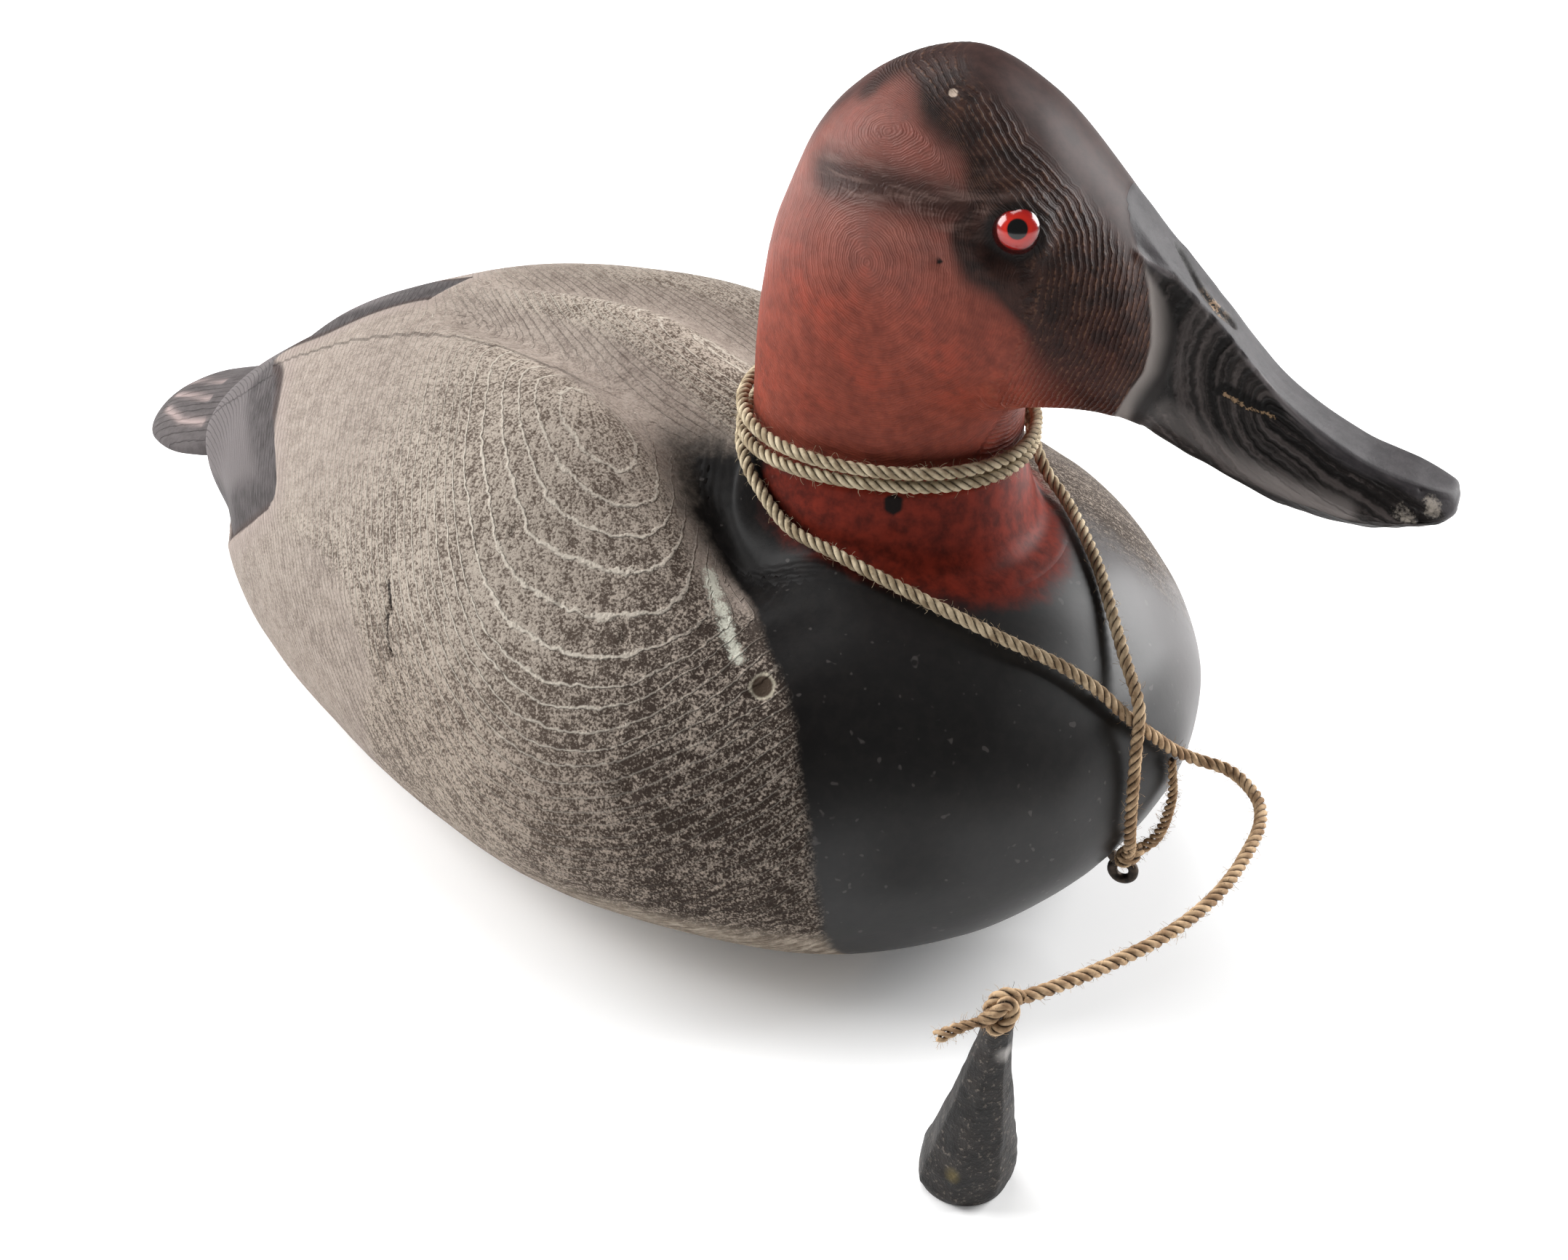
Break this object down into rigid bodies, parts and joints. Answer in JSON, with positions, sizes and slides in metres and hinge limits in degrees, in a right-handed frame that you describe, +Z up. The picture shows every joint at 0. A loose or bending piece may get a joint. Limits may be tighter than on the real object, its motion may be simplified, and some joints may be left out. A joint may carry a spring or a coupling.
{
  "type": "duck decoy",
  "caption": "Carved wooden floating duck with a turned head, long bill, glass eyes, and an anchor cord wound round the neck to a small cone weight.",
  "frame": {"origin": "on the ground under the middle of the duck's length and width", "axes": "+X toward the bill, +Y toward the duck's left side, +Z up"},
  "size_m": [0.3975, 0.208, 0.2136],
  "materials": {
    "body_wood": "dry-brushed grey paint over dark wood, black breast and rump",
    "head_wood": "worn brick red paint, black bill",
    "eye_glass": "polished",
    "iron": "dark, unpolished",
    "twine": "twisted, dry",
    "lead": "cast, dull"
  },
  "bodies": {
    "root": {"body": "body_wood", "head": "head_wood", "eye_right": "eye_glass", "eye_left": "eye_glass", "screw_eye": "iron", "cord": "twine", "knot_at_eye": "twine", "cord_tail_at_eye": "twine", "anchor_weight": "lead", "knot_at_weight": "twine", "cord_tail_at_weight": "twine"}
  },
  "joints": []
}
